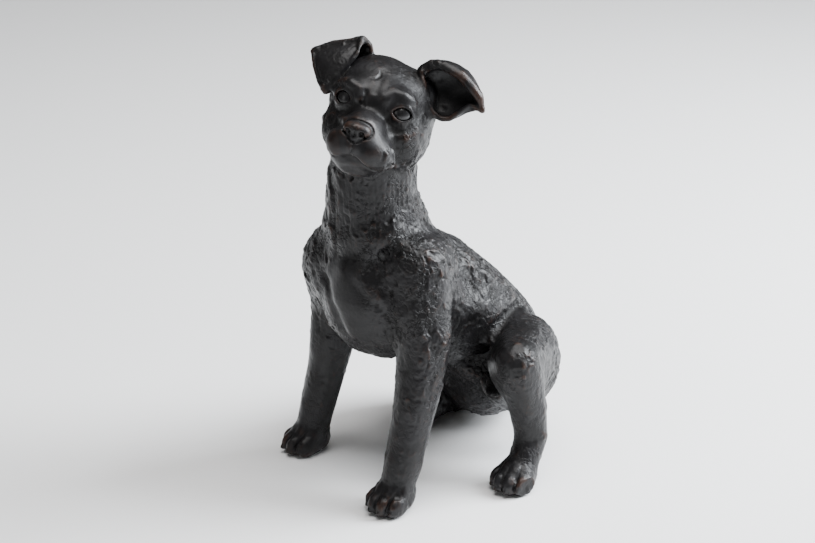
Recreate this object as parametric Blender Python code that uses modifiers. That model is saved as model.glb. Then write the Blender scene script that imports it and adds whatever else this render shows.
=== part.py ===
"""Seated puppy figurine, slip-cast in hollow ceramic and cold-painted.

The sculpture is built once as a master, one skin over overlapping masses, as a sculptor models it in
clay. The master is then sawn into the sections that are cast apart: head, torso, four legs and tail.
Each hollow section is drained by the same continuous slip core and keeps a luting gap to its
neighbour. The vent hole is open in the underside of the torso. Ears, eyes and nose are modelled apart
and laid on. Felt pads sit under the four flat paw soles and under the heel of the tucked hind leg.

Frame: metres, +Z up, the dog looks along -Y, its left side is +X, origin at the middle of the
underside of its bounding box. Sizes below are in millimetres and go through mm().
"""

import math

import bmesh
import bpy
from mathutils import Matrix, Vector

MM = 0.001


def mm(*values):
    """A length, or a point, given in millimetres."""
    return values[0] * MM if len(values) == 1 else Vector(values) * MM


# ---------------------------------------------------------------- stance, in millimetres
FOREPAW_SPACING = 116.0  # between the middles of the two front paws
FOREPAW_STAGGER = 6.0  # how far the left front paw stands ahead of the right one
LEFT_HIND_PAW_OUT = 88.0  # mid-plane to the middle of the splayed left hind paw
RIGHT_HIND_PAW_OUT = 43.0  # the same for the right hind paw, which is tucked in
STANCE_LENGTH = 95.0  # front paw line to the left hind paw
TUCK = 12.0  # how far the right hind paw is drawn back behind the left one
BODY_LENGTH = 146.0  # front paw line to the middle of the seat
ELBOW_HEIGHT = 113.0
KNEE_HEIGHT = 103.0
HOCK_HEIGHT = 35.0
PAW_LENGTH = 36.0

# ---------------------------------------------------------------- torso, neck and head
CHEST_HEIGHT = 148.5  # middle of the rib cage above the ground
CHEST_WIDTH = 104.0
CHEST_DEPTH = 112.0  # top to bottom
SHOULDER_HEIGHT = 172.5
SEAT_WIDTH = 98.0
NECK_TOP_HEIGHT = 254.5
NECK_WIDTH = 66.0
HEAD_HEIGHT = 288.5  # middle of the skull above the ground
HEAD_ASIDE = 3.0  # middle of the skull to the left of the mid-plane
HEAD_BACK = 33.0  # and behind the front paw line
HEAD_WIDTH = 77.0
MUZZLE_LENGTH = 31.0  # eyes to the nose pad
HEAD_TURN = math.radians(40.0)  # to its left
HEAD_TILT = math.radians(13.0)  # left ear down
HEAD_NOD = math.radians(-16.0)  # nose up

# ---------------------------------------------------------------- what is laid on
EYE_SPACING = 40.0
EYE_DIAMETER = 17.0
NOSE_WIDTH = 25.0
EAR_THICKNESS = 4.0
PAD_THICKNESS = 1.5  # of the felt
PAD_DIAMETER = 18.0
HAUNCH_PAD_DIAMETER = 20.0

# ---------------------------------------------------------------- casting
WALL = 6.0  # of the cast shell
VENT_DIAMETER = 14.0
LUTING_GAP = 0.3  # between pieces that meet
SAW_MARGIN = 6.0  # how far a limb's saw surface stands off its axis masses
NECK_SAW_HEIGHT = 236.0

# ---------------------------------------------------------------- mesh fineness
MASTER_VOXEL = 3.0
MASTER_SMOOTHING = 8
MASTER_TRIANGLES = 4800
SAW_VOXEL = 4.0
SAW_SMOOTHING = 12
SAW_TRIANGLES = 700
CORE_VOXEL = 5.0
CORE_SMOOTHING = 3
CORE_TRIANGLES = 900
EAR_TRIANGLES = 460
BALL_SPACING = 6.0

SOLE_HEIGHT = PAD_THICKNESS + LUTING_GAP
SIDES = {"left": 1, "right": -1}
HAUNCH_PLACE = (-RIGHT_HIND_PAW_OUT - 2, BODY_LENGTH + 5)
VENT_PLACE = (-8, BODY_LENGTH + 2)


# ---------------------------------------------------------------- paint and felt
PAINT_BLACK = (0.035, 0.033, 0.032)
PAINT_BROWN = (0.055, 0.043, 0.036)
PAINT_METALLIC = 0.35
FELT_GREY = (0.08, 0.08, 0.08)


# ================================================================ helpers
def clear_scene():
    for obj in list(bpy.data.objects):
        bpy.data.objects.remove(obj, do_unlink=True)


def new_collection(name):
    collection = bpy.data.collections.new(name)
    bpy.context.scene.collection.children.link(collection)
    return collection


def new_material(name, colour, roughness, metallic=0.0):
    material = bpy.data.materials.new(name)
    material.use_nodes = True
    shader = material.node_tree.nodes["Principled BSDF"]
    shader.inputs["Base Color"].default_value = (*colour, 1.0)
    shader.inputs["Roughness"].default_value = roughness
    shader.inputs["Metallic"].default_value = metallic
    return material


def object_from(bm, name, collection, material=None):
    mesh = bpy.data.meshes.new(name)
    bm.to_mesh(mesh)
    bm.free()
    obj = bpy.data.objects.new(name, mesh)
    collection.objects.link(obj)
    if material:
        mesh.materials.append(material)
    return obj


def helper_from(bm, name):
    """A cutter or another shape that isn't a piece of the figurine."""
    obj = object_from(bm, name, HELPERS)
    obj.hide_render = True
    obj.display_type = "WIRE"
    return obj


def freeze(obj):
    """Applies the object's modifiers."""
    graph = bpy.context.evaluated_depsgraph_get()
    mesh = bpy.data.meshes.new_from_object(obj.evaluated_get(graph))
    obj.modifiers.clear()
    obj.data = mesh
    return obj


def boolean(obj, other, operation="DIFFERENCE"):
    modifier = obj.modifiers.new(operation.title() + " " + other.name, "BOOLEAN")
    modifier.operation = operation
    modifier.object = other
    modifier.solver = "EXACT"


def add_ball(bm, centre, radii, turn=None, subdivisions=3):
    matrix = Matrix.LocRotScale(centre, turn, radii)
    bmesh.ops.create_icosphere(bm, subdivisions=subdivisions, radius=1.0, matrix=matrix)


def add_string(bm, stations, matrix=Matrix.Identity(4), grow=0.0):
    """Overlapping balls whose middles and radii run evenly from one station to the next."""
    spacing = mm(BALL_SPACING)
    turn = matrix.to_quaternion()
    swell = Vector((grow, grow, grow))
    for (start, r_start), (end, r_end) in zip(stations, stations[1:]):
        steps = max(1, math.ceil((end - start).length / spacing))
        for i in range(steps + 1):
            share = i / steps
            radii = r_start.lerp(r_end, share) + swell
            add_ball(bm, matrix @ start.lerp(end, share), radii, turn, subdivisions=2)


def round_station(x, y, z, radius):
    """A place on a limb's axis, with the limb's radius there, all in millimetres."""
    return mm(x, y, z), mm(radius, radius, radius)


def oval_station(x, y, z, radius_x, radius_y, radius_z):
    return mm(x, y, z), mm(radius_x, radius_y, radius_z)


def model_clay(obj, voxel, smoothing, triangles):
    """Fuses the overlapping balls into one skin, smooths the creases and thins the mesh."""
    remesh = obj.modifiers.new("Fuse", "REMESH")
    remesh.mode = "VOXEL"
    remesh.voxel_size = mm(voxel)
    smooth = obj.modifiers.new("Smooth", "SMOOTH")
    smooth.factor = 0.5
    smooth.iterations = smoothing
    freeze(obj)
    count = 2 * len(obj.data.polygons)
    thin = obj.modifiers.new("Thin", "DECIMATE")
    thin.ratio = min(1.0, triangles / count)
    thin.use_collapse_triangulate = True
    return freeze(obj)


# ================================================================ the masses of the body
def torso_stations():
    half_chest, half_depth, half_seat = CHEST_WIDTH / 2, CHEST_DEPTH / 2, SEAT_WIDTH / 2
    loin_y = BODY_LENGTH * 0.75
    return [
        oval_station(-3, 40, CHEST_HEIGHT, half_chest, 50, half_depth + 2),
        oval_station(-3, BODY_LENGTH * 0.52, CHEST_HEIGHT - 13, half_chest - 4, 48, 48),
        oval_station(-4, loin_y, CHEST_HEIGHT - 34, half_chest - 7, 45, 41),
        oval_station(-6, BODY_LENGTH - 1, 76, half_seat - 2, 40, 49),
        oval_station(-14, BODY_LENGTH + 4, 51, half_seat - 6, 42, 46),
    ]


def neck_stations():
    half = NECK_WIDTH / 2
    middle = (SHOULDER_HEIGHT + NECK_TOP_HEIGHT) / 2
    return [
        oval_station(-8, 42, SHOULDER_HEIGHT + 8, half + 12, 41, 31),
        oval_station(-4, 29, middle + 8, half + 1, half + 2, 30),
        oval_station(1, 28, NECK_TOP_HEIGHT, half - 1, half - 1, 26),
    ]


def add_shoulder_blade(bm, side):
    """The flat mass that carries a foreleg into the back and the neck."""
    add_ball(bm, mm(side * 32 - 3, 50, SHOULDER_HEIGHT - 9), mm(25, 33, 35))


def forepaw_place(side):
    """Middle of a front paw on the ground, in millimetres."""
    return side * FOREPAW_SPACING / 2, 5 - FOREPAW_STAGGER / 2 * side


def hind_paw_place(side):
    if side > 0:
        return LEFT_HIND_PAW_OUT, STANCE_LENGTH
    return -RIGHT_HIND_PAW_OUT, STANCE_LENGTH + TUCK


def foreleg_stations(side):
    """From the shoulder down to the wrist; the weight leans on the right shoulder."""
    paw_x, paw_y = forepaw_place(side)
    shoulder = round_station(36, 40, SHOULDER_HEIGHT + 2, 26)
    elbow_x = paw_x - 6
    if side < 0:
        shoulder = round_station(-48, 32, SHOULDER_HEIGHT - 19, 28)
        elbow_x = paw_x + 4
    return [
        shoulder,
        round_station(elbow_x, 34, ELBOW_HEIGHT, 21),
        round_station(paw_x - side, paw_y + 18, ELBOW_HEIGHT * 0.62, 16.5),
        round_station(paw_x, paw_y + 8, 36, 15),
        round_station(paw_x, paw_y + 2, 16, 13.5),
    ]


def left_hind_leg_stations():
    """From the hip over the raised knee and the hock to the splayed paw."""
    paw_x, paw_y = hind_paw_place(1)
    return [
        oval_station(40, BODY_LENGTH - 9, 73, 28, 37, 42),
        round_station(paw_x - 7, paw_y + 3, KNEE_HEIGHT - 5, 19),
        round_station(paw_x - 6, paw_y + 12, (KNEE_HEIGHT + HOCK_HEIGHT) / 2, 16),
        round_station(paw_x - 5, paw_y + 18, HOCK_HEIGHT, 13.5),
        round_station(paw_x, paw_y + 4, 14, 12.5),
    ]


def right_hind_leg_stations():
    """From the hip over the knee to the heel, then flat along the ground to the tucked paw."""
    paw_x, paw_y = hind_paw_place(-1)
    return [
        oval_station(-38, BODY_LENGTH - 14, 72, 28, 42, 44),
        round_station(paw_x - 18, paw_y + 2, KNEE_HEIGHT - 18, 20),
        round_station(paw_x - 12, BODY_LENGTH - 4, HOCK_HEIGHT + 8, 20),
        round_station(paw_x - 2, BODY_LENGTH + 6, 13, 15.5),
        round_station(paw_x, paw_y + 6, 13, 12.5),
    ]


def tail_stations():
    seat_back = BODY_LENGTH + 38
    return [
        round_station(-8, seat_back - 12, 26, 13),
        round_station(-26, seat_back + 6, 15, 10.5),
        round_station(-50, seat_back + 4, 11, 8.5),
        round_station(-70, seat_back - 14, 9, 6.5),
    ]


def add_paw(bm, x, y, heading):
    """A palm and four toes that point along -Y turned by the heading, in millimetres and degrees."""
    place = Matrix.Translation(mm(x, y, 0)) @ Matrix.Rotation(math.radians(heading), 4, "Z")
    turn = place.to_quaternion()
    half = PAW_LENGTH / 2
    add_ball(bm, place @ mm(0, 0, 9.5), mm(half * 0.87, half, 13), turn)
    for across, ahead in ((-11.5, -7), (-4.2, -13), (4.2, -13), (11.5, -7)):
        add_ball(bm, place @ mm(across, ahead, 7.5), mm(5.5, 11, 9), turn)


def head_frame():
    """The head's own frame: origin in the middle of the skull, -Y to the nose, +X to its left."""
    turn = (
        Matrix.Rotation(HEAD_TURN, 4, "Z")
        @ Matrix.Rotation(HEAD_NOD, 4, "X")
        @ Matrix.Rotation(HEAD_TILT, 4, "Y")
    )
    return Matrix.Translation(mm(HEAD_ASIDE, HEAD_BACK, HEAD_HEIGHT)) @ turn


# the face, in the head's frame
EYES_Y = -27.0
EYES_Z = 1.5
NOSE_Y = EYES_Y - MUZZLE_LENGTH
NOSE_Z = -15.5


def add_head(bm):
    frame = head_frame()
    turn = frame.to_quaternion()
    half = HEAD_WIDTH / 2

    def lump(x, y, z, rx, ry, rz):
        add_ball(bm, frame @ mm(x, y, z), mm(rx, ry, rz), turn)

    lump(0, 6, 0, half, 38, 32)
    lump(0, -13, 4, half - 7.5, 22, 21)
    muzzle = [
        oval_station(0, EYES_Y + 8, NOSE_Z - 3, 24, 18, 18),
        oval_station(0, NOSE_Y + 13.5, NOSE_Z - 7, 17.5, 14, 14.5),
    ]
    add_string(bm, muzzle, frame)
    lump(0, NOSE_Y + 26, NOSE_Z - 25, 14, 17, 8.5)
    for side in SIDES.values():
        lump(side * (half - 20), -4, NOSE_Z - 4, 19, 26, 22)
        lump(side * 10, NOSE_Y + 20, NOSE_Z - 16, 12, 18, 11.5)
        lump(side * 18, EYES_Y + 3, EYES_Z + 9, 11, 9, 7)


def build_master():
    bm = bmesh.new()
    add_string(bm, torso_stations())
    add_string(bm, neck_stations())
    add_head(bm)
    add_string(bm, left_hind_leg_stations())
    add_string(bm, right_hind_leg_stations())
    for side in SIDES.values():
        add_shoulder_blade(bm, side)
        add_string(bm, foreleg_stations(side))
        add_paw(bm, *forepaw_place(side), side * 6)
        add_paw(bm, *hind_paw_place(side), 10 + side * 8)
    add_string(bm, tail_stations())
    master = helper_from(bm, "master")
    return model_clay(master, MASTER_VOXEL, MASTER_SMOOTHING, MASTER_TRIANGLES)


# ================================================================ casting
def drop_crumbs(obj):
    """Keeps the largest of the bodies that a saw cut has left."""
    bm = bmesh.new()
    bm.from_mesh(obj.data)
    loose = set(bm.verts)
    bodies = []
    while loose:
        body = {loose.pop()}
        edge_of_search = list(body)
        while edge_of_search:
            for edge in edge_of_search.pop().link_edges:
                for vert in edge.verts:
                    if vert not in body:
                        body.add(vert)
                        edge_of_search.append(vert)
        loose -= body
        bodies.append(body)
    largest = max(bodies, key=len)
    bmesh.ops.delete(bm, geom=[v for v in bm.verts if v not in largest], context="VERTS")
    bm.to_mesh(obj.data)
    bm.free()
    return obj


def swollen(obj, amount, name):
    """A copy of a helper whose surface stands off by the amount."""
    copy = bpy.data.objects.new(name, obj.data.copy())
    HELPERS.objects.link(copy)
    copy.hide_render = True
    copy.display_type = "WIRE"
    displace = copy.modifiers.new("Stand off", "DISPLACE")
    displace.strength = amount
    displace.mid_level = 0.0
    return freeze(copy)


def box_between(low, high, name):
    bm = bmesh.new()
    matrix = Matrix.LocRotScale((low + high) / 2, None, high - low)
    bmesh.ops.create_cube(bm, size=1.0, matrix=matrix)
    return helper_from(bm, name)


def saw_along(stations, name):
    """A saw surface that runs round a limb at the same distance from its axis masses all along."""
    bm = bmesh.new()
    add_string(bm, stations, grow=mm(SAW_MARGIN))
    return model_clay(helper_from(bm, name), SAW_VOXEL, SAW_SMOOTHING, SAW_TRIANGLES)


def round_the_paw(x, y):
    """The last station of a leg's saw, wide enough to leave the whole paw on the leg."""
    return oval_station(x, y - 5, 12, PAW_LENGTH * 0.62, PAW_LENGTH * 0.68, 20)


def core_string(bm, stations, matrix=Matrix.Identity(4)):
    add_string(bm, stations, matrix, grow=-mm(WALL))


def build_slip_core():
    """The one cavity that the slip drains from: torso, neck, skull and the legs down to the wrists."""
    bm = bmesh.new()
    core_string(bm, torso_stations())
    core_string(bm, neck_stations())
    core_string(bm, [oval_station(0, 9, 1, HEAD_WIDTH / 2 - 4, 32, 28)] * 2, head_frame())
    for side in SIDES.values():
        core_string(bm, foreleg_stations(side)[:-1])
    core_string(bm, left_hind_leg_stations()[:-1])
    core_string(bm, right_hind_leg_stations()[:-1])
    core = model_clay(helper_from(bm, "slip_core"), CORE_VOXEL, CORE_SMOOTHING, CORE_TRIANGLES)
    return drop_crumbs(core)


def section(name, colour, roughness):
    """A piece of the master with a material of its own, still whole and solid."""
    mesh = master.data.copy()
    obj = bpy.data.objects.new(name, mesh)
    PARTS.objects.link(obj)
    mesh.materials.clear()
    mesh.materials.append(new_material(name, colour, roughness, PAINT_METALLIC))
    return obj


def saw(obj, removed=(), kept=()):
    for other in kept:
        boolean(obj, other, "INTERSECT")
    for other in removed:
        boolean(obj, other)
    freeze(obj)
    return drop_crumbs(obj)


def build_sections():
    """Saws the master into head, torso, legs and tail, and drains the hollow ones."""
    reach = mm(500)
    half_gap = mm(LUTING_GAP) / 2
    neck_cut = mm(NECK_SAW_HEIGHT)

    def above(height, name):
        return box_between(Vector((-reach, -reach, height)), Vector((reach, reach, reach)), name)

    def below(height, name):
        return box_between(Vector((-reach, -reach, -reach)), Vector((reach, reach, height)), name)

    floor = below(mm(SOLE_HEIGHT), "floor")
    core = build_slip_core()

    sockets = [ball_in_head(place, EYE_DIAMETER / 2 + LUTING_GAP, "socket") for place in eye_places()]
    over_neck = above(neck_cut + half_gap, "over_neck")
    head = section("head_shell", PAINT_BLACK, 0.42)
    saw(head, removed=[core, *sockets], kept=[over_neck])

    limbs = {
        "foreleg_left": foreleg_stations(1) + [round_the_paw(*forepaw_place(1))],
        "foreleg_right": foreleg_stations(-1) + [round_the_paw(*forepaw_place(-1))],
        "hind_leg_left": left_hind_leg_stations() + [round_the_paw(*hind_paw_place(1))],
        "hind_leg_right": right_hind_leg_stations() + [round_the_paw(*hind_paw_place(-1))],
    }
    tail_saw = saw_along(tail_stations(), "tail_saw")
    tail_clearance = swollen(tail_saw, mm(LUTING_GAP), "tail_clearance")
    saw(section("tail", PAINT_BROWN, 0.5), removed=[floor], kept=[tail_saw])

    clearances = [tail_clearance]
    for name, stations in limbs.items():
        around = saw_along(stations, name + "_saw")
        clearances.append(swollen(around, mm(LUTING_GAP), name + "_clearance"))
        tone = PAINT_BROWN if name.startswith("fore") else PAINT_BLACK
        saw(section(name, tone, 0.45), removed=[tail_clearance, floor, core], kept=[around])

    above_neck = above(neck_cut - half_gap, "above_neck")
    vent = ground_disc(VENT_PLACE, VENT_DIAMETER, -20, 40, "vent")
    saw(section("torso_shell", PAINT_BLACK, 0.45), removed=[above_neck, *clearances, floor, core, vent])


# ================================================================ what is laid on
def piece(bm, name, colour, roughness, metallic=0.0):
    return object_from(bm, name, PARTS, new_material(name, colour, roughness, metallic))


def eye_places():
    return [mm(side * EYE_SPACING / 2, EYES_Y + 5.5, EYES_Z) for side in SIDES.values()]


def ball_in_head(place, radius, name):
    bm = bmesh.new()
    add_ball(bm, head_frame() @ place, mm(radius, radius, radius), subdivisions=3)
    return helper_from(bm, name)


def build_eyes():
    for side, place in zip(SIDES, eye_places()):
        bm = bmesh.new()
        bmesh.ops.create_icosphere(bm, subdivisions=3, radius=mm(EYE_DIAMETER) / 2)
        eye = piece(bm, "eye_" + side, PAINT_BLACK, 0.2, PAINT_METALLIC)
        eye.location = head_frame() @ place


def build_nose(skin):
    """A pad of clay that follows the end of the muzzle."""
    bm = bmesh.new()
    half = NOSE_WIDTH / 2
    frame = head_frame()
    add_ball(bm, frame @ mm(0, NOSE_Y + 2, NOSE_Z), mm(half, 7, 8.5), frame.to_quaternion(), 2)
    nose = piece(bm, "nose", PAINT_BROWN, 0.3, PAINT_METALLIC)
    saw(nose, removed=[skin])


# Ear cages in the head's frame, in millimetres, one row after another from the skull to the tip.
# The right ear stands up and folds over forward; the left one opens sideways under a folded rim.
RIGHT_EAR_ROWS = [
    [(-33, 10, 10), (-27, 10, 18), (-16, 8, 25)],
    [(-45, 9, 17), (-36, 10, 28), (-20, 8, 39)],
    [(-60, 2, 29), (-43, 2, 39.5), (-24, 0, 48.5)],
    [(-53, -8, 18), (-42, -11, 27), (-24, -10, 35)],
    [(-45, -12, 8), (-39, -15, 13), (-28, -13, 22)],
    [(-40, -14, 0), (-37, -16, -3), (-32, -15, 4)],
]
LEFT_EAR_ROWS = [
    [(33, 8, 5), (30, 8, 11), (25, 8, 18), (18, 4, 25), (17, -2, 24)],
    [(42, 4, 2), (39, 12, 15), (33, 13, 29), (26, 3, 47), (30, -8, 39)],
    [(52, 2, 4), (49, 12, 19), (46, 14, 32), (43, 3, 48.5), (44, -11, 37)],
    [(59, 0, 12), (58, 8, 22), (58, 10, 32), (59, 2, 41), (55, -10, 34)],
    [(64, -3, 19), (69, -2, 17), (75, -2, 16), (72, -3, 26), (65, -8, 24)],
]


def build_ear(name, rows, skin):
    """A leaf of rolled clay, bent as the cage goes and trimmed where it meets the skull."""
    bm = bmesh.new()
    across, along = len(rows[0]) - 1, len(rows) - 1
    bmesh.ops.create_grid(bm, x_segments=across, y_segments=along, size=1.0)
    frame = head_frame()
    for vert in bm.verts:
        column = round((vert.co.x + 1) / 2 * across)
        row = round((vert.co.y + 1) / 2 * along)
        vert.co = frame @ mm(*rows[row][column])
    ear = piece(bm, name, PAINT_BROWN, 0.4, PAINT_METALLIC)
    leaf = ear.modifiers.new("Leaf", "SOLIDIFY")
    leaf.thickness = mm(EAR_THICKNESS)
    leaf.offset = 0.0
    soften = ear.modifiers.new("Soften", "SUBSURF")
    soften.levels = soften.render_levels = 2
    freeze(ear)
    thin = ear.modifiers.new("Thin", "DECIMATE")
    thin.ratio = EAR_TRIANGLES / (2 * len(ear.data.polygons))
    thin.use_collapse_triangulate = True
    freeze(ear)
    saw(ear, removed=[skin])


def ground_disc(place, diameter, bottom, top, name):
    """An upright cylinder between two heights, in millimetres."""
    bm = bmesh.new()
    radius = mm(diameter) / 2
    matrix = Matrix.Translation(mm(*place, (bottom + top) / 2))
    bmesh.ops.create_cone(
        bm, cap_ends=True, segments=32, radius1=radius, radius2=radius, depth=mm(top - bottom), matrix=matrix
    )
    return helper_from(bm, name)


def build_pads():
    """Felt discs under the flat soles and under the right haunch, which carries the seat."""
    places = {"haunch_pad": (HAUNCH_PLACE, HAUNCH_PAD_DIAMETER)}
    for side, sign in SIDES.items():
        places["forepaw_pad_" + side] = forepaw_place(sign), PAD_DIAMETER
        places["hind_paw_pad_" + side] = hind_paw_place(sign), PAD_DIAMETER
    for name, ((x, y), diameter) in places.items():
        bm = bmesh.new()
        radius, depth = mm(diameter) / 2, mm(PAD_THICKNESS)
        bmesh.ops.create_cone(bm, cap_ends=True, segments=32, radius1=radius, radius2=radius, depth=depth)
        pad = piece(bm, name, FELT_GREY, 0.95)
        pad.location = mm(x, y, PAD_THICKNESS / 2)


def stand_on_origin():
    """Parents the pieces to one empty, and brings the middle of their underside to the origin."""
    bpy.context.view_layer.update()
    corners = [o.matrix_world @ Vector(c) for o in PARTS.objects for c in o.bound_box]
    low = Vector(min(c[i] for c in corners) for i in range(3))
    high = Vector(max(c[i] for c in corners) for i in range(3))
    figurine = bpy.data.objects.new("figurine", None)
    for obj in PARTS.objects:
        obj.parent = figurine
    PARTS.objects.link(figurine)
    figurine.location = (-(low.x + high.x) / 2, -(low.y + high.y) / 2, -low.z)


clear_scene()
HELPERS = new_collection("Cutters")
PARTS = new_collection("Seated dog figurine")
master = build_master()
build_sections()
master_skin = swollen(master, mm(LUTING_GAP), "master_skin")
build_eyes()
build_nose(master_skin)
build_ear("ear_right", RIGHT_EAR_ROWS, master_skin)
build_ear("ear_left", LEFT_EAR_ROWS, master_skin)
build_pads()
stand_on_origin()
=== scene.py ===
"""Seated puppy figurine in bronze-effect paint: the sculpted clay surface, its finish and a plain studio.

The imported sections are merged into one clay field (a signed distance on a fine lattice). Masses,
creases and beads of clay are worked into the field, it is turned into a mesh, tool dabs are pressed
into that, and the skin is parted again where the sections meet. Lengths are in millimetres in the
figure's own frame (x to its left, -y ahead, z up, origin on the ground between the front paws) until
the pieces are made.
"""

import math

import bmesh
import bpy
import numpy as np
import openvdb as vdb
from mathutils import Matrix, Vector, kdtree
from mathutils.bvhtree import BVHTree


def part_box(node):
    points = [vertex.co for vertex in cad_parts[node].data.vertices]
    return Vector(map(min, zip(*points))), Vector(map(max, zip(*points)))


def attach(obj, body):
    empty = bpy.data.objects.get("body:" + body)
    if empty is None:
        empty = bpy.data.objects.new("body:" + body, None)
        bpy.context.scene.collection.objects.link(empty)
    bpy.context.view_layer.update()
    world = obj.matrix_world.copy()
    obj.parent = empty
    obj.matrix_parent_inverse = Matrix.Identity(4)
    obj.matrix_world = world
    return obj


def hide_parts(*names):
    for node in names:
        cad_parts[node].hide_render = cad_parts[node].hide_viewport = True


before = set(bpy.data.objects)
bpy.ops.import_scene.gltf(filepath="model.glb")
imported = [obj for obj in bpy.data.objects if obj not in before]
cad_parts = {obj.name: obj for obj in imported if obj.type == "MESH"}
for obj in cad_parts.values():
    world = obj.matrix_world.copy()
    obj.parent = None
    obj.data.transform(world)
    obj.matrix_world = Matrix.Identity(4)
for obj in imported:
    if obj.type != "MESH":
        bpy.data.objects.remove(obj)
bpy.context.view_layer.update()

# ---------------------------------------------------------------- the figure's frame
LEFT_FOREPAW = (58.0, 2.0)  # middle of the left front pad, ahead of and beside the origin
HEAD_PLACE = (3.0, 33.0, 288.5)
HEAD_TURN, HEAD_NOD, HEAD_TILT = 40.0, -16.0, 13.0
EYE_RADIUS = 8.5
EYES = {"left": (19.6, -22.0, 1.2), "right": (-19.2, -22.0, 0.8)}
VENT = (-8.0, 148.0, 28.0)

pad_low, pad_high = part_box("forepaw_pad_left")
origin = (pad_low + pad_high) / 2 - Vector((*LEFT_FOREPAW, 0)) / 1000
origin.z = 0.0
head = (
    Matrix.Translation(HEAD_PLACE)
    @ Matrix.Rotation(math.radians(HEAD_TURN), 4, "Z")
    @ Matrix.Rotation(math.radians(HEAD_NOD), 4, "X")
    @ Matrix.Rotation(math.radians(HEAD_TILT), 4, "Y")
)
HEAD_AXES = np.array(head.to_3x3())
HEAD_ORIGIN = np.array(HEAD_PLACE)

CLAY = ["torso_shell", "head_shell", "foreleg_left", "foreleg_right"]
CLAY += ["hind_leg_left", "hind_leg_right", "tail"]
EARS = ["ear_left", "ear_right"]
PADS = ["forepaw_pad_left", "forepaw_pad_right", "hind_paw_pad_left", "hind_paw_pad_right", "haunch_pad"]
CELL = 0.8  # lattice spacing
COARSE_CELL = 2.0  # lattice spacing on which the gaps between the sections close
SEAL = 0.9  # swelling that closes them
PLUG_RADIUS = 12.0
BODY_BLUR, MASS_BLUR, EAR_BLUR = 2.2, 1.0, 1.1  # how far the sections, the added masses and the ears melt
EAR_SWELL = 0.7  # thickness given back to the ears after their blur
LOW = np.array([-84.0, -30.0, -4.0])  # corners of the lattice
HIGH = np.array([104.0, 202.0, 342.0])
GROUND_CLEARANCE = 1.6  # the felt pads lift the skin off the ground
# middle and heading in degrees of each paw: forepaws first, the left one before the right
PAWS = [(58.0, 2.0, 8.0), (-58.0, 8.0, -8.0), (88.0, 95.0, 14.0), (-43.0, 107.0, -10.0)]
DABS = 7600
rng = np.random.default_rng(7)


def from_head(points):
    """Points of the head's frame in the figure's frame."""
    return np.atleast_2d(np.asarray(points, float)) @ HEAD_AXES.T + HEAD_ORIGIN


def node_mesh(name):
    """A CAD node's vertices in the figure's frame and its triangles."""
    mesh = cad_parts[name].data
    mesh.calc_loop_triangles()
    points = np.array([v.co for v in mesh.vertices], float)
    corners = np.array([t.vertices for t in mesh.loop_triangles], np.uint32)
    return ((points - np.array(origin)) * 1000).astype(np.float32), corners


def joined(names):
    """Several CAD nodes as one list of vertices and one of triangles."""
    points, corners, count = [], [], 0
    for name in names:
        p, c = node_mesh(name)
        points.append(p)
        corners.append(c + count)
        count += len(p)
    return np.concatenate(points), np.concatenate(corners)


# ================================================================ the clay field
class Clay:
    """Signed distance to the clay's surface on a lattice, negative inside."""

    def __init__(self, low, high):
        self.first = np.floor(np.array(low) / CELL).astype(int)
        last = np.ceil(np.array(high) / CELL).astype(int)
        self.shape = tuple(last - self.first + 1)
        self.f = np.full(self.shape, 9.0, np.float32)

    def window(self, low, high):
        a = np.clip(np.floor(np.array(low) / CELL).astype(int) - self.first, 0, None)
        b = np.clip(np.ceil(np.array(high) / CELL).astype(int) - self.first + 1, 0, self.shape)
        part = tuple(slice(i, j) for i, j in zip(a, b))
        axes = [(np.arange(i, j) + o) * CELL for i, j, o in zip(a, b, self.first)]
        grids = np.meshgrid(*axes, indexing="ij")
        return part, np.stack(grids, -1).astype(np.float32)

    def around(self, points, margin):
        points = np.atleast_2d(points)
        return self.window(points.min(0) - margin, points.max(0) + margin)

    def value(self, p):
        i = np.clip(np.round(np.asarray(p) / CELL).astype(int) - self.first, 1, np.array(self.shape) - 2)
        return float(self.f[tuple(i)])

    def snap(self, p):
        """The point of the surface near p."""
        p = np.array(p, float)
        for _ in range(12):
            d = self.value(p)
            g = np.array([self.value(p + e) - self.value(p - e) for e in np.eye(3) * 2 * CELL])
            g /= np.linalg.norm(g) + 1e-9
            p -= 0.7 * d * g
        return p


def polyline_distance(p, points, radii=None):
    """Distance to a chain; with radii, to the skin of a chain of balls of those radii."""
    best = np.full(p.shape[:-1], 1e9, np.float32)
    points = np.asarray(points, np.float32)
    if len(points) == 1:
        points = np.concatenate([points, points + 1e-3])
        radii = None if radii is None else [radii[0]] * 2
    for i in range(len(points) - 1):
        a, d = points[i], points[i + 1] - points[i]
        t = np.clip(((p - a) @ d) / max(float(d @ d), 1e-9), 0, 1)
        dist = np.linalg.norm(p - a - t[..., None] * d, axis=-1)
        if radii is not None:
            dist = dist - (radii[i] + t * (radii[i + 1] - radii[i]))
        best = np.minimum(best, dist)
    return best


def smooth_min(a, b, k):
    h = np.clip(0.5 + 0.5 * (b - a) / k, 0, 1)
    return b + (a - b) * h - k * h * (1 - h)


def smooth_max(a, b, k):
    return -smooth_min(-a, -b, k)


def puff(clay, points, width, height, snap=False):
    """Raises (or with a negative height sinks) the skin along a chain of points, with a soft edge."""
    points = np.atleast_2d(np.asarray(points, float))
    if snap:
        points = np.array([clay.snap(p) for p in points])
    part, p = clay.around(points, 2.4 * width + abs(height))
    d = polyline_distance(p, points)
    clay.f[part] -= height * np.exp(-((d / width) ** 2))


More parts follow.
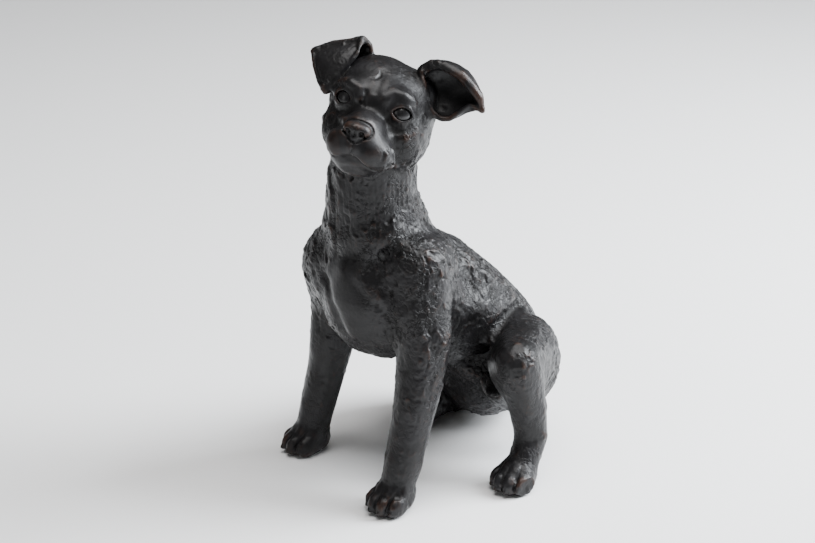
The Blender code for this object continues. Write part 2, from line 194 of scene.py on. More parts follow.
def crease(clay, points, radius, k=0.8, snap=True, taper=True):
    """A crisp groove."""
    points = np.atleast_2d(np.asarray(points, float))
    if snap:
        points = np.array([clay.snap(p) for p in points])
    ends = 0.35 if taper else 1.0
    steps = np.linspace(0, 1, len(points))
    radii = radius * (ends + (1 - ends) * np.clip(np.sin(steps * math.pi) * 1.6, 0, 1))
    part, p = clay.around(points, radius + 3 * k + 2)
    d = polyline_distance(p, points, list(radii))
    clay.f[part] = smooth_max(clay.f[part], -d, k)


def bead(clay, points, radii, k=1.5):
    """A roll of clay laid along a chain of points."""
    points = np.atleast_2d(np.asarray(points, float))
    if np.isscalar(radii):
        radii = [radii] * len(points)
    part, p = clay.around(points, max(radii) + 3 * k + 2)
    clay.f[part] = smooth_min(clay.f[part], polyline_distance(p, points, radii), k)


def egg_distance(p, centre, radii, axes):
    q = (p - np.asarray(centre, np.float32)) @ np.asarray(axes, np.float32)
    r = np.asarray(radii, np.float32)
    k0 = np.linalg.norm(q / r, axis=-1)
    k1 = np.linalg.norm(q / (r * r), axis=-1)
    return k0 * (k0 - 1) / np.maximum(k1, 1e-6)


def egg(clay, centre, radii, k=3.0, axes=None, dig=False):
    """Adds an ellipsoid of clay, or scoops one out."""
    axes = np.eye(3) if axes is None else axes
    centre = np.asarray(centre, float)
    part, p = clay.window(centre - max(radii) - 3 * k, centre + max(radii) + 3 * k)
    d = egg_distance(p, centre, radii, axes)
    if dig:
        clay.f[part] = smooth_max(clay.f[part], -d, k)
    else:
        clay.f[part] = smooth_min(clay.f[part], d, k)


def blurred(f, sigma):
    """Gaussian blur, with sigma in lattice steps."""
    reach = int(math.ceil(2.5 * sigma))
    weights = np.exp(-0.5 * (np.arange(-reach, reach + 1) / sigma) ** 2)
    weights = (weights / weights.sum()).astype(np.float32)
    for axis in range(3):
        f = np.moveaxis(f, axis, 0)
        padded = np.concatenate([f[:1]] * reach + [f] + [f[-1:]] * reach)
        out = np.zeros_like(f)
        for i, w in enumerate(weights):
            out += w * padded[i : i + len(f)]
        f = np.moveaxis(out, 0, axis)
    return f


def solid_field(points, corners):
    """The filled volume of some closed surfaces as a lattice of distances."""
    coarse = vdb.createLinearTransform(voxelSize=COARSE_CELL)
    grid = vdb.FloatGrid.createLevelSetFromPolygons(
        points.astype(np.float32), triangles=corners.astype(np.uint32), transform=coarse, halfWidth=3
    )
    points, quads = grid.convertToQuads(isovalue=SEAL)
    fine = vdb.createLinearTransform(voxelSize=CELL)
    grid = vdb.FloatGrid.createLevelSetFromPolygons(points, quads=quads, transform=fine, halfWidth=9)
    clay = Clay(LOW, HIGH)
    out = np.zeros(clay.shape, np.float32)
    grid.copyToArray(out, ijk=tuple(int(i) for i in clay.first))
    return out + SEAL


def ball_mesh(centre, radius):
    """A closed ball's vertices and triangles."""
    bm = bmesh.new()
    bmesh.ops.create_icosphere(bm, subdivisions=2, radius=radius)
    points = np.array([v.co for v in bm.verts]) + np.array(centre)
    corners = np.array([[v.index for v in f.verts] for f in bm.faces], np.uint32)
    bm.free()
    return points, corners


def base_clay():
    """The sections merged, with a ball that stops the vent hole."""
    points, corners = joined(CLAY)
    plug, plug_corners = ball_mesh(VENT, PLUG_RADIUS)
    corners = np.concatenate([corners, plug_corners + len(points)])
    clay = Clay(LOW, HIGH)
    clay.f = blurred(solid_field(np.concatenate([points, plug]), corners), BODY_BLUR / CELL)
    return clay


# ================================================================ sculpting, in order
SIGHT_IN_HEAD = np.array([0.16, -0.98, 0.15])
SIGHT = HEAD_AXES @ (SIGHT_IN_HEAD / np.linalg.norm(SIGHT_IN_HEAD))
SIDES = {"left": 1, "right": -1}
LID_WIDTH = {"left": 8.0, "right": 7.2}
LID_HEIGHT = 5.4


def on_face(clay, *points):
    """Points of the head's frame, slid along the modeller's sight line onto the skin."""
    found = []
    for p in from_head(points):
        steps = np.arange(22.0, -22.0, -0.4)
        hit = next((p + s * SIGHT for s in steps if clay.value(p + s * SIGHT) < 0), p)
        found.append(hit)
    return found


def head_egg(clay, centre, radii, k=3.0, dig=False):
    egg(clay, from_head(centre)[0], radii, k, HEAD_AXES, dig)


def head_bead(clay, points, radii, k):
    bead(clay, from_head(points), radii, k)


def settled(points):
    """The right ear sits a little lower on the skull than its cast core."""
    q = (points - HEAD_ORIGIN) @ HEAD_AXES
    low = (q[:, 0] < 0) & (q[:, 2] > 0)
    q[low, 2] *= 0.91
    return from_head(q)


def shape_ears(clay):
    part = clay.window((-70, -20, 262), (84, 80, 342))[0]
    points, corners = joined(EARS)
    ears = solid_field(settled(points), corners)[part]
    ears = blurred(ears, EAR_BLUR / CELL) - EAR_SWELL
    clay.f[part] = smooth_min(clay.f[part], ears, 2.2)
    # right ear: the rolled edges of the flap and the hollow at the inner end of its fold
    fold = [(-57, 0, 25.5), (-46, 0, 33.5), (-34, -1, 38.5), (-26, -1, 42)]
    head_bead(clay, fold, [2.4, 2.2, 2.2, 2.6], 2.5)
    inner_edge = [(-26, -3, 41), (-24, -9, 35), (-26, -12, 28), (-31, -14, 18), (-36, -15, 5)]
    head_bead(clay, inner_edge, [2.2, 1.6, 1.5, 1.5, 1.5], 1.6)
    outer_edge = [(-58, -1, 24), (-53, -7, 15), (-46, -12, 6), (-39, -15, 0)]
    head_bead(clay, outer_edge, [2.0, 1.6, 1.5, 1.8], 1.6)
    root = [(-25, 0, 42), (-21, 4, 39), (-19, 7, 33), (-18, 9, 27)]
    head_bead(clay, root, 2.4, 2.0)
    head_egg(clay, (-22.5, -4, 34), (2.4, 6.5, 5.0), 1.4, dig=True)
    # left ear: the folded rim, the front margin, the lobe and the hollow
    rim = [(20, -1, 34), (27, -3, 40), (38, -5, 41), (50, -6, 38), (60, -6, 32), (67, -5, 26), (71, -3, 18.5)]
    head_bead(clay, rim, [2.2, 2.8, 3.2, 3.4, 3.2, 2.4, 1.4], 2.4)
    back_edge = [(52, -1, 36), (60, 0, 30), (66, -1, 24), (70, -2, 20)]
    head_bead(clay, back_edge, [2.6, 2.8, 2.6, 1.6], 2.4)
    margin = [(22, -4, 32), (26, -6, 25), (29, -7, 18), (33, -5, 11), (38, -3, 6)]
    head_bead(clay, margin, [2.0, 1.8, 1.7, 1.7, 2.0], 2.6)
    lobe = [(38, -2, 6), (44, -1, 4.5), (50, -1, 6), (55, -1, 12), (61, -2, 19.5), (66, -3, 19.5)]
    lobe.append(rim[-1])
    head_bead(clay, lobe, [2.0, 1.9, 1.8, 1.7, 1.6, 1.5, 1.3], 2.0)


def shape_skull(clay):
    head_egg(clay, (-6, 8, 6), (32, 33, 29.5), 6)
    head_egg(clay, (17, 8, 8), (20, 24, 23.5), 6)
    head_egg(clay, (26, -2, -14), (14, 26, 20), 6)


def shape_muzzle(clay):
    head_egg(clay, (0.3, -40, -16), (13, 19, 13), 6)
    head_egg(clay, (-10.5, -44, -27), (11, 12, 10), 4)
    head_egg(clay, (10.5, -43, -27.5), (13.5, 14.5, 11.5), 5)
    head_egg(clay, (2, -34, -38.5), (15, 16.5, 8), 6)
    head_egg(clay, (16.5, -38.5, -30.5), (10, 11, 9.5), 6)
    head_egg(clay, (0.5, -51, -27), (6, 8, 6), 4)
    puff(clay, on_face(clay, (-22, -32, -6), (-17, -40, -11), (-12, -48, -12)), 2.6, 1.6)
    puff(clay, on_face(clay, (-26, -30, -14), (-20, -38, -17), (-14, -48, -17)), 3.4, -1.3)
    puff(clay, on_face(clay, (27.7, -33, -20.8), (29, -30, -27)), 6, -1.4)


def shape_mouth(clay):
    egg(clay, on_face(clay, (4, -50, -48))[0], (13, 8, 6), 6, HEAD_AXES, dig=True)
    right_lip = [(-21, -40, -36.5), (-16, -46, -38.3), (-11.4, -50, -38.5), (-8, -53, -37)]
    front_lip = [(-4.5, -57, -35.2), (0, -58, -33.6), (4.5, -58, -34)]
    left_lip = [(8.9, -54, -37.2), (14.7, -49, -39.8), (20.5, -43, -40), (24.5, -38, -38.6)]
    lip = on_face(clay, *right_lip, *front_lip, *left_lip)
    puff(clay, np.array(lip) - HEAD_AXES[:, 2] * 2.6, 2.4, -0.7)
    crease(clay, lip, 1.05, 0.6, snap=False, taper=False)
    crease(clay, on_face(clay, (0.8, -60, -23), (0.8, -60, -28), (0.4, -60, -33.6)), 0.8, 0.7, snap=False)
    curl = [(21, -38, -34), (23, -36, -31.5), (26, -35, -31), (28.5, -34, -33.5), (28, -35, -37.5)]
    puff(clay, on_face(clay, *curl), 1.7, 1.3)
    hole = on_face(clay, (25.2, -36, -35.2))[0]
    egg(clay, hole, (1.7, 3.0, 2.4), 0.9, HEAD_AXES, dig=True)


def shape_nose(clay):
    """The nose pad in its moat, with nostrils, slits and the middle groove."""
    centre = np.array([-0.2, -55.5, -16.0])
    part, p = clay.window(from_head(centre)[0] - 24, from_head(centre)[0] + 24)
    bridge = ((0, 0.6, 1.2), (8.2, 6.8, 5.0))
    wings = [((x, 1.6, 0.4), (4.1, 5.8, 4.1)) for x in (-5.8, 5.8)]
    lobes = [bridge, *wings, ((0.4, 1.0, -4.4), (4.4, 5.8, 4.4))]
    pad = None
    for offset, radii in lobes:
        d = egg_distance(p, from_head(centre + offset)[0], radii, HEAD_AXES)
        pad = d if pad is None else smooth_min(pad, d, 2.6)
    skin = clay.f[part]
    moat = np.maximum(pad - 1.3, -(skin + 1.1))
    skin = smooth_max(skin, -moat, 1.0)
    clay.f[part] = smooth_min(skin, pad, 0.4)
    for side in (-1, 1):
        x = centre[0]
        hole = on_face(clay, (x + side * 5.0, -62, -17.2))[0]
        egg(clay, hole, (2.0, 3.2, 1.9), 0.8, HEAD_AXES, dig=True)
        slit = [(x + side * 5.6, -62, -17.8), (x + side * 8.0, -60, -18.8), (x + side * 10, -58, -18.4)]
        crease(clay, on_face(clay, *slit), 0.95, 0.7, snap=False)
    groove = on_face(clay, (-0.2, -62, -13), (-0.2, -62, -18), (0.4, -61, -24))
    crease(clay, groove, 0.7, 0.9, snap=False)


def eye_axes(side):
    """Along the lids outwards, up and out of the socket, as columns of the figure's frame."""
    out = np.array([side * 0.36, -0.93, 0.08])
    out /= np.linalg.norm(out)
    along = np.cross((0, 0, 1), out) * -side
    along /= np.linalg.norm(along)
    up = np.cross(out, along) * side
    up = up if up[2] > 0 else -up
    return HEAD_AXES @ np.stack([along, up, out], 1)


def shape_eye(clay, name):
    """The lids, opening and socket around one eyeball."""
    side = SIDES[name]
    centre = from_head(EYES[name])[0]
    axes = eye_axes(side)
    a, b = LID_WIDTH[name], LID_HEIGHT
    arc = (a * a + b * b) / (2 * b)

    def lid(steps, up, lift, grow=0.0):
        u = steps * (a + grow)
        v = up * (np.sqrt(np.maximum((arc + grow) ** 2 - u**2, 0)) - (arc - b))
        v = np.where(np.abs(steps) >= 1, 0, v)
        w = np.sqrt(np.maximum((EYE_RADIUS + lift) ** 2 - u**2 - v**2, 4.0))
        return centre + np.stack([u, v, w], 1) @ axes.T

    steps = np.linspace(-1, 1, 13)
    egg(clay, centre, (EYE_RADIUS + 1.3,) * 3, 4.0)
    part, p = clay.window(centre - 16, centre + 16)
    q = (p - centre.astype(np.float32)) @ axes.astype(np.float32)
    u, v, w = q[..., 0], q[..., 1], q[..., 2]
    top = np.hypot(u, v + (arc - b)) - arc
    bottom = np.hypot(u, v - (arc - b)) - arc
    opening = np.maximum(np.maximum(top, bottom), -w)
    clay.f[part] = smooth_max(clay.f[part], -opening, 0.6)
    bead(clay, lid(steps, 1, 1.1), 1.2, 1.4)
    bead(clay, lid(steps, -1, 0.7), 1.0, 1.4)
    ball = np.linalg.norm(q, axis=-1) - EYE_RADIUS - 0.25
    clay.f[part] = np.maximum(clay.f[part], -ball)
    puff(clay, lid(steps[2:-1], 1, 2.0, 3.2), 1.5, -0.8)


def shape_brows(clay):
    right_ridge = [(-29, -24, 5), (-26, -28, 11), (-19, -31, 13), (-12, -32, 10.5), (-10, -32, 5)]
    puff(clay, on_face(clay, *right_ridge), 3.2, 3.8)
    puff(clay, on_face(clay, (7.5, -31, 9), (12, -29, 15), (18, -28, 15.4), (26.4, -24, 11)), 3.6, 2.2)
    puff(clay, on_face(clay, (-7.0, -31, 9), (-6.2, -31, 1)), 1.5, -1.1)
    puff(clay, on_face(clay, (0, -32, 12), (0.5, -32, 20), (1, -30, 28)), 3.0, -1.0)
    forehead_fold = [(-2.6, -24, 27), (-1.2, -26, 23), (-3.5, -27, 19.8), (-7, -27, 19)]
    crease(clay, on_face(clay, *forehead_fold), 0.8, 1.2, snap=False)
    puff(clay, on_face(clay, (13, -31, -5), (15, -34, -10), (18, -34, -15)), 1.7, -0.9)
    puff(clay, on_face(clay, (17, -33, -12), (24, -31, -11), (31, -27, -6)), 1.8, -0.8)
    puff(clay, on_face(clay, (-28, -26, -7), (-21, -31, -9), (-14, -34, -8)), 1.8, -0.9)


def shape_paw(clay, x, y, heading):
    """Four toes with their nails and the furrows between them."""
    turn = np.array(Matrix.Rotation(math.radians(heading), 3, "Z"))
    foot = np.array([x, y, 0.0])

    def at(*points):
        return np.array(points, float) @ turn.T + foot

    for across, ahead in ((-11.5, -8.5), (-4.2, -13.5), (4.2, -13.5), (11.5, -8.5)):
        egg(clay, at((across, ahead, 8.0))[0], (5.0, 8.5, 8.0), 1.6, turn)
        puff(clay, at((across, ahead + 6, 17)), 4.0, 1.2, snap=True)
        egg(clay, at((across * 1.02, ahead - 7.5, 5.5))[0], (1.6, 2.6, 2.0), 1.0, turn)
    for across, front in ((-8.2, -19), (0, -24), (8.2, -19)):
        line = [(across, front + back, height) for back, height in ((0, 3), (2, 8), (7, 13))]
        line.append((across * 0.9, front + 14, 19))
        crease(clay, at(*line), 1.25, 0.8)


def shape_body(clay):
    """The masses and furrows of the trunk and legs, in the figure's frame."""
    # chest: the smooth bib, the overlaid shoulder clay beside it and the furrow on its far side
    puff(clay, [(8, -3, 172), (12, -5, 155), (16, -2, 136)], 15, 3.0)
    egg(clay, (-39, 21, 160), (23, 21, 30), 14)
    puff(clay, [(-26, 8, 200), (-34, 12, 190)], 9, 2.5)
    puff(clay, [(30, 87, 180), (35, 85, 166), (38, 92, 150)], 14, -6)
    puff(clay, [(-12, 2, 192), (6, 1, 192), (22, 9, 199), (34, 20, 204)], 13, 4.5)
    puff(clay, [(-15, -2, 160), (-6, -6, 152), (0, -6, 140), (3, -1, 124), (10, 4, 114)], 5.0, -2.6)
    overlay = [(24, 14, 198), (17, 8, 188), (12, 2, 179), (15, -1, 171), (22, 1, 162), (32, 7, 154)]
    overlay = np.array([*overlay, (38, 13, 145)])
    puff(clay, overlay + (7, 1, 2), 6.0, 2.6)
    puff(clay, overlay + (-3, 0, 0), 3.0, -1.2)
    puff(clay, [(-19, 2, 242), (-9, -3, 228), (-12, -1, 208), (-11, 1, 180), (-13, -3, 164)], 3.0, 1.7)
    puff(clay, [(-13, 2, 240), (-4, -3, 226), (-6, -2, 206), (-5, 0, 182)], 3.0, -1.3)
    puff(clay, [(11, 0, 218)], 3.5, 1.5)
    # near shoulder and foreleg
    puff(clay, [(69, 38, 129)], 8.5, 3.0)
    puff(clay, [(38, 9, 160), (48, 12, 135), (53, 12, 109)], 4.0, -1.0)
    puff(clay, [(62, 18, 150), (66, 22, 128), (66, 20, 104), (64, 14, 78)], 6.0, 1.8)
    puff(clay, [(70, 52, 118), (66, 44, 100)], 7.0, -2.0)
    puff(clay, [(60, -4, 40), (62, -6, 30)], 6.0, 1.2)
    puff(clay, [(66, 16, 36), (63, 18, 28)], 5.0, 1.6)
    # far foreleg
    puff(clay, [(-60, 14, 110), (-60, 8, 86)], 6.0, 1.6)
    puff(clay, [(-46, 17, 24)], 3.5, 2.2)
    puff(clay, [(-58, -2, 38), (-58, -5, 28)], 6.0, 1.0)
    # ribs, flank and thigh
    egg(clay, (36, 100, 76), (26, 20, 22), 5, dig=True)
    egg(clay, (12, 95, 103), (20, 42, 24), 10)
    puff(clay, [(27, 146, 116), (40, 122, 114), (49, 107, 106), (52, 100, 99)], 4.0, -3.4)
    puff(clay, [(26, 136, 124), (38, 114, 121), (44, 100, 112)], 4.5, 2.2)
    puff(clay, [(78, 106, 106), (66, 126, 104), (58, 150, 92)], 9.0, 1.6)
    puff(clay, [(94, 90, 92), (96, 95, 78), (94, 98, 62)], 5.0, 1.4)
    puff(clay, [(86, 118, 60), (84, 114, 44)], 5.0, 1.8)
    puff(clay, [(0, 100, 168), (-6, 140, 128), (-12, 176, 84)], 8.0, 1.4)


def shape_all(clay):
    shape_body(clay)
    clay.f = blurred(clay.f, MASS_BLUR / CELL)
    for x, y, heading in PAWS:
        shape_paw(clay, x, y, heading)
    shape_skull(clay)
    shape_ears(clay)
    shape_muzzle(clay)
    shape_brows(clay)
    shape_nose(clay)
    shape_mouth(clay)
    for name in SIDES:
        shape_eye(clay, name)


# ================================================================ from the field to a skin
def skin_of(clay):
    grid = vdb.FloatGrid()
    grid.copyFromArray(np.ascontiguousarray(clay.f), ijk=tuple(int(i) for i in clay.first))
    grid.transform = vdb.createLinearTransform(voxelSize=CELL)
    points, quads = grid.convertToQuads(isovalue=0.0)
    return points.astype(np.float64), quads.astype(np.int64)


def whole(points, quads):
    """Only the largest connected skin."""
    label = np.arange(len(points))
    a = quads[:, [0, 1, 2]].ravel()
    b = quads[:, [1, 2, 3]].ravel()
    while True:
        low = np.minimum(label[a], label[b])
        before = label.copy()
        np.minimum.at(label, label[a], low)
        np.minimum.at(label, label[b], low)
        label = label[label]
        if np.array_equal(before, label):
            break
    kept = np.bincount(label).argmax()
    use = label == kept
    new = np.cumsum(use) - 1
    return points[use], new[quads[use[quads[:, 0]]]]


def facing(points, quads):
    """Unit normals of the vertices."""
    d1 = points[quads[:, 2]] - points[quads[:, 0]]
    d2 = points[quads[:, 3]] - points[quads[:, 1]]
    n = np.cross(d1, d2)
    out = np.zeros_like(points)
    for c in range(4):
        for axis in range(3):
            out[:, axis] += np.bincount(quads[:, c], n[:, axis], len(points))
    return out / (np.linalg.norm(out, axis=1, keepdims=True) + 1e-12)


def relaxed(values, quads, rounds, pull=0.6):
    """Values averaged with their neighbours' a number of times."""
    a = quads.ravel()
    b = np.roll(quads, -1, 1).ravel()
    count = (np.bincount(a, minlength=len(values)) + np.bincount(b, minlength=len(values)))[:, None]
    values = values.reshape(len(values), -1).astype(float)
    for _ in range(rounds):
        total = np.stack([
            np.bincount(a, values[b, i], len(values)) + np.bincount(b, values[a, i], len(values))
            for i in range(values.shape[1])
        ], 1)
        values = values + pull * (total / count - values)
    return values


# Zones where the clay is smoother than the rest: centre, reach and the share of the tooling left.
# places worked smooth: middle, reach and the share of tooling left there
CALM = [
    (from_head((0, -32, -8))[0], 34, 0.20),
    (from_head((0, -50, -30))[0], 24, 0.10),
    (from_head((0, -8, 22))[0], 32, 0.40),
    (from_head((-42, -5, 24))[0], 24, 0.35),
    (from_head((50, 0, 26))[0], 30, 0.20),
    (np.array([4.0, -8, 160]), 27, 0.10),
    (np.array([16.0, -4, 130]), 20, 0.15),
    (np.array([54.0, 4, 108]), 20, 0.35),
    (np.array([-58.0, 2, 90]), 26, 0.40),
]
CALM += [(np.array([x, y - 8, 6.0]), 22, 0.25) for x, y, _ in PAWS]
CALM += [(np.array([x, y + 8, 52.0]), 34, 0.45) for x, y, _ in PAWS]
CALM += [(np.array([62.0, 104, 92]), 40, 0.55), (np.array([0.0, 15, 225]), 26, 0.55)]


def tooling(points):
    """How much of the tooling each point keeps, from 0 to 1."""
    share = np.ones(len(points))
    for centre, reach, left in CALM:
        near = np.exp(-((np.linalg.norm(points - centre, axis=1) / reach) ** 4))
        share *= 1 - near * (1 - left)
    return share


STROKE = np.array([0.15, 0.35, -1.0])  # the tool works down and a little backwards
DAB_LENGTH = 4.0  # half of a middling dab's length
DAB_WIDTH, DAB_SPREAD = 1.3, 1.1  # half its width and what the widest dab adds
DAB_PRESS, DAB_LIP = 0.75, 0.16
FEWEST = 6  # a dab that reaches fewer points leaves no mark


def press_dabs(points, quads):
    """Flat dabs of the modelling tool, each with a raised lip where it ended."""
    normal = facing(relaxed(points, quads, 4), quads)
    share = tooling(points)
    tree = kdtree.KDTree(len(points))
    for i, p in enumerate(points):
        tree.insert(p, i)
    tree.balance()
    weight = 0.25 + share
    picks = rng.choice(len(points), DABS, p=weight / weight.sum())
    spin = rng.uniform(-0.9, 0.9, DABS)
    size = rng.lognormal(-0.1, 0.35, DABS)
    stub = rng.uniform(0, 1, DABS)
    tilt = rng.normal(0, 0.12, (DABS, 2))
    depth = rng.uniform(-0.05, 0.35, DABS)
    for k, i in enumerate(picks):
        n = normal[i]
        along = STROKE - n * (STROKE @ n)
        along /= np.linalg.norm(along) + 1e-9
        side = np.cross(n, along)
        along, side = (along * math.cos(spin[k]) + side * math.sin(spin[k]),
                       side * math.cos(spin[k]) - along * math.sin(spin[k]))
        long, short = DAB_LENGTH * size[k], (DAB_WIDTH + DAB_SPREAD * stub[k]) * size[k]
        found = [j for _, j, _ in tree.find_range(Vector(points[i]), long * 1.35)]
        if len(found) < FEWEST:
            continue
        j = np.array(found)
        j = j[normal[j] @ n > 0.45]
        if len(j) < FEWEST:
            continue
        q = points[j] - points[i]
        u, v, h = q @ along / long, q @ side / short, q @ n
        r = np.sqrt(u * u + v * v)
        press = np.clip((1.12 - r) / 0.3, 0, 1)
        press = press * press * (3 - 2 * press)
        flat = tilt[k, 0] * u * long + tilt[k, 1] * v * short - depth[k] * share[i]
        lip = DAB_LIP * share[i] * np.exp(-(((r - 1.12) / 0.16) ** 2)) * np.clip(u + 0.2, 0, 1)
        points[j] += n * ((flat - h) * press * DAB_PRESS * share[i] + lip)[:, None]
    return points


def lattice_noise(points, scale, seed):
    """Smooth noise from 0 to 1 with features of that size."""
    table = np.random.default_rng(seed).random((64, 64, 64))
    q = points / scale + 512
    cell = np.floor(q).astype(int)
    t = q - cell
    t = t * t * (3 - 2 * t)
    total = np.zeros(len(points))
    for corner in range(8):
        step = np.array([corner & 1, corner >> 1 & 1, corner >> 2 & 1])
        share = np.where(step, t, 1 - t).prod(1)
        i = (cell + step) % 64
        total += share * table[i[:, 0], i[:, 1], i[:, 2]]
    return total


def crackle(points, quads):
    """The torn, granular skin that a dry tool leaves, in patches."""
    normal = facing(points, quads)
    share = tooling(points)
    patch = np.clip(lattice_noise(points, 13.0, 1) * 2.6 - 0.8, 0, 1)
    warp = points + 1.6 * (lattice_noise(points, 5.0, 2) - 0.5)[:, None]
    ridge = 1 - np.abs(2 * lattice_noise(warp * (1, 1, 0.6), 2.3, 3) - 1)
    grain = lattice_noise(points, 1.5, 4) - 0.5
    lift = 0.5 * (ridge - 0.62) * patch + 0.22 * grain * (0.4 + 0.6 * patch)
    return points + normal * (lift * (0.12 + 0.88 * share))[:, None]


def stroke_neck(points, quads):
    """Long upright strokes down the front and side of the neck."""
    normal = facing(points, quads)
    x, y, z = points.T
    around = np.arctan2(x, -(y - 30)) * 34
    wave = np.sin(around * 1.35 + 1.6 * np.sin(z * 0.11)) + 0.6 * np.sin(around * 2.3 + z * 0.09)
    zone = np.exp(-(((z - 222) / 24) ** 4)) * (y < 75)
    return points + normal * (0.15 * wave * zone)[:, None]


# ================================================================ parting the skin
def part_skin(points, quads):
    """The quads of each section: those nearest to that CAD node."""
    names, corners, spots = CLAY + EARS + ["nose"], [], []
    owner, count = [], 0
    for i, name in enumerate(names):
        p, c = node_mesh(name)
        spots.append(p)
        corners.append(c + count)
        owner += [i] * len(c)
        count += len(p)
    spots = [Vector(p) for p in np.concatenate(spots)]
    tree = BVHTree.FromPolygons(spots, np.concatenate(corners).tolist())
    middle = points[quads].mean(1)
    label = np.array([owner[tree.find_nearest(Vector(m))[2]] for m in middle])
    for _ in range(6):
        votes = np.zeros((len(points), len(names)))
        for c in range(4):
            np.add.at(votes, (quads[:, c], label), 1)
        label = votes[quads].sum(1).argmax(1)
    return {name: quads[label == i] for i, name in enumerate(names)}


def rings(quads):
    """Closed loops of the open edges, each as a list of vertices."""
    a, b = quads.ravel(), np.roll(quads, -1, 1).ravel()
    forward = set(zip(a.tolist(), b.tolist()))
    after = {}
    for s, e in forward:
        if (e, s) not in forward:
            after.setdefault(s, []).append(e)
    found = []
    for start in sorted(after):
        while after.get(start):
            ring, here = [start], after[start].pop()
            while here != start and after.get(here):
                ring.append(here)
                here = after[here].pop()
            if here == start and len(ring) > 2:
                found.append(ring)
    return found


def make_piece(name, points, normals, quads, fields, material):
    """One section of the skin as an object, its open edges capped, shaded with the whole skin's normals."""
    used = np.unique(quads)
    place = np.full(len(points), -1)
    place[used] = np.arange(len(used))
    spots = points[used] / 1000 + np.array(origin)
    faces = place[quads].tolist()
    caps = []
    for ring in rings(quads):
        centre = len(spots) + len(caps)
        local = place[ring]
        caps.append(spots[local].mean(0))
        faces += [[int(local[(i + 1) % len(local)]), int(local[i]), centre] for i in range(len(local))]
    if caps:
        spots = np.concatenate([spots, caps])
    mesh = bpy.data.meshes.new(name)
    mesh.from_pydata(spots.tolist(), [], faces)
    mesh.update()
    for key, values in fields.items():
        layer = mesh.attributes.new(key, "FLOAT", "POINT")
        data = np.zeros(len(spots), np.float32)
        data[: len(used)] = values[used]
        layer.data.foreach_set("value", data)
    mesh.polygons.foreach_set("use_smooth", [True] * len(mesh.polygons))
    shade = np.zeros((len(spots), 3))
    shade[: len(used)] = normals[used]
    shade[len(used) :, 2] = 1
    mesh.normals_split_custom_set_from_vertices(shade.tolist())
    mesh.materials.append(material)
    piece = bpy.data.objects.new("skin_" + name, mesh)
    bpy.context.scene.collection.objects.link(piece)
    return piece


# ================================================================ finishes
PAINT_DARK, PAINT_LIGHT = (0.0050, 0.0047, 0.0050), (0.0115, 0.0110, 0.0120)
RUBBED_BROWN = (0.034, 0.0165, 0.0105)
# near-black painted shade, mixed into the hollows and creases of the skin
HOLLOW_PAINTED_SHADE = (0.0018, 0.0013, 0.0011)
EYE_LIGHT = (0.011, 0.0105, 0.0115)
FELT_DARK, FELT_LIGHT = (0.045, 0.045, 0.046), (0.12, 0.12, 0.12)


def nodes_of(name):
    material = bpy.data.materials.new(name)
    material.use_nodes = True
    tree = material.node_tree
    return material, tree, tree.nodes["Principled BSDF"]


def add(tree, kind, **settings):
    """A new node; a setting named like an input sets that input, any other sets the node."""
    node = tree.nodes.new(kind)
    for key, value in settings.items():
        if key in node.inputs:
            node.inputs[key].default_value = value
        else:
            setattr(node, key, value)
    return node


def ramp(tree, source, low, high):
    """0 below low, 1 above high and smooth between them."""
    node = add(tree, "ShaderNodeMapRange", interpolation_type="SMOOTHSTEP")
    node.inputs["From Min"].default_value = low
    node.inputs["From Max"].default_value = high
    tree.links.new(source, node.inputs["Value"])
    return node.outputs["Result"]


def math_node(tree, operation, *values):
    node = add(tree, "ShaderNodeMath", operation=operation)
    for socket, value in zip(node.inputs, values):
        if isinstance(value, (int, float)):
            socket.default_value = value
        else:
            tree.links.new(value, socket)
    return node.outputs[0]


def mix_colour(tree, factor, a, b):
    node = add(tree, "ShaderNodeMix", data_type="RGBA")
    tree.links.new(factor, node.inputs["Factor"])
    sockets = [s for s in node.inputs if s.type == "RGBA"]
    for socket, value in zip(sockets, (a, b)):
        if isinstance(value, tuple):
            socket.default_value = (*value, 1)
        else:
            tree.links.new(value, socket)
    return [s for s in node.outputs if s.type == "RGBA"][0]


